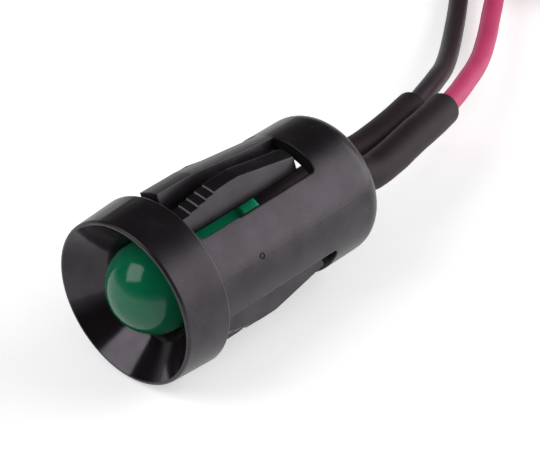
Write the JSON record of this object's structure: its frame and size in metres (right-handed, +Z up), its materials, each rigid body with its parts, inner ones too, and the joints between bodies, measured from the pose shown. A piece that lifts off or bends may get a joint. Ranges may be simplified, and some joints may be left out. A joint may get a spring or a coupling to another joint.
{
  "type": "panel mount indicator light",
  "caption": "Snap-in panel indicator light with a domed lamp recessed in a cone-shaped bezel, a slotted barrel with spring latch legs, and sleeved wire leads.",
  "frame": {"origin": "middle of the bezel's back face, where it seats on the panel", "axes": "-Y out of the front of the lamp, +Y along the barrel to the rear, +Z up as the lamp lies on its bezel edge"},
  "size_m": [0.0235, 0.0604, 0.0094],
  "materials": {
    "black_moulding": "satin",
    "green_resin": "gloss",
    "tinned_steel": "satin",
    "chip": "gloss",
    "gold_wire": "gloss",
    "solder": "satin",
    "sleeve": "satin",
    "black_insulation": "satin",
    "red_insulation": "satin",
    "tie": "satin"
  },
  "bodies": {
    "root": {"housing": "black_moulding", "lamp_body": "green_resin", "cathode_pin": "tinned_steel", "anode_pin": "tinned_steel", "light_chip": "chip", "bond_wire": "gold_wire", "black_joint": "solder", "red_joint": "solder", "black_core": "solder", "red_core": "solder", "black_sleeve": "sleeve", "red_sleeve": "sleeve", "black_lead": "black_insulation", "red_lead": "red_insulation", "black_coil": "black_insulation", "red_coil": "red_insulation", "black_tinned_end": "solder", "red_tinned_end": "solder", "coil_tie": "tie"}
  },
  "joints": []
}
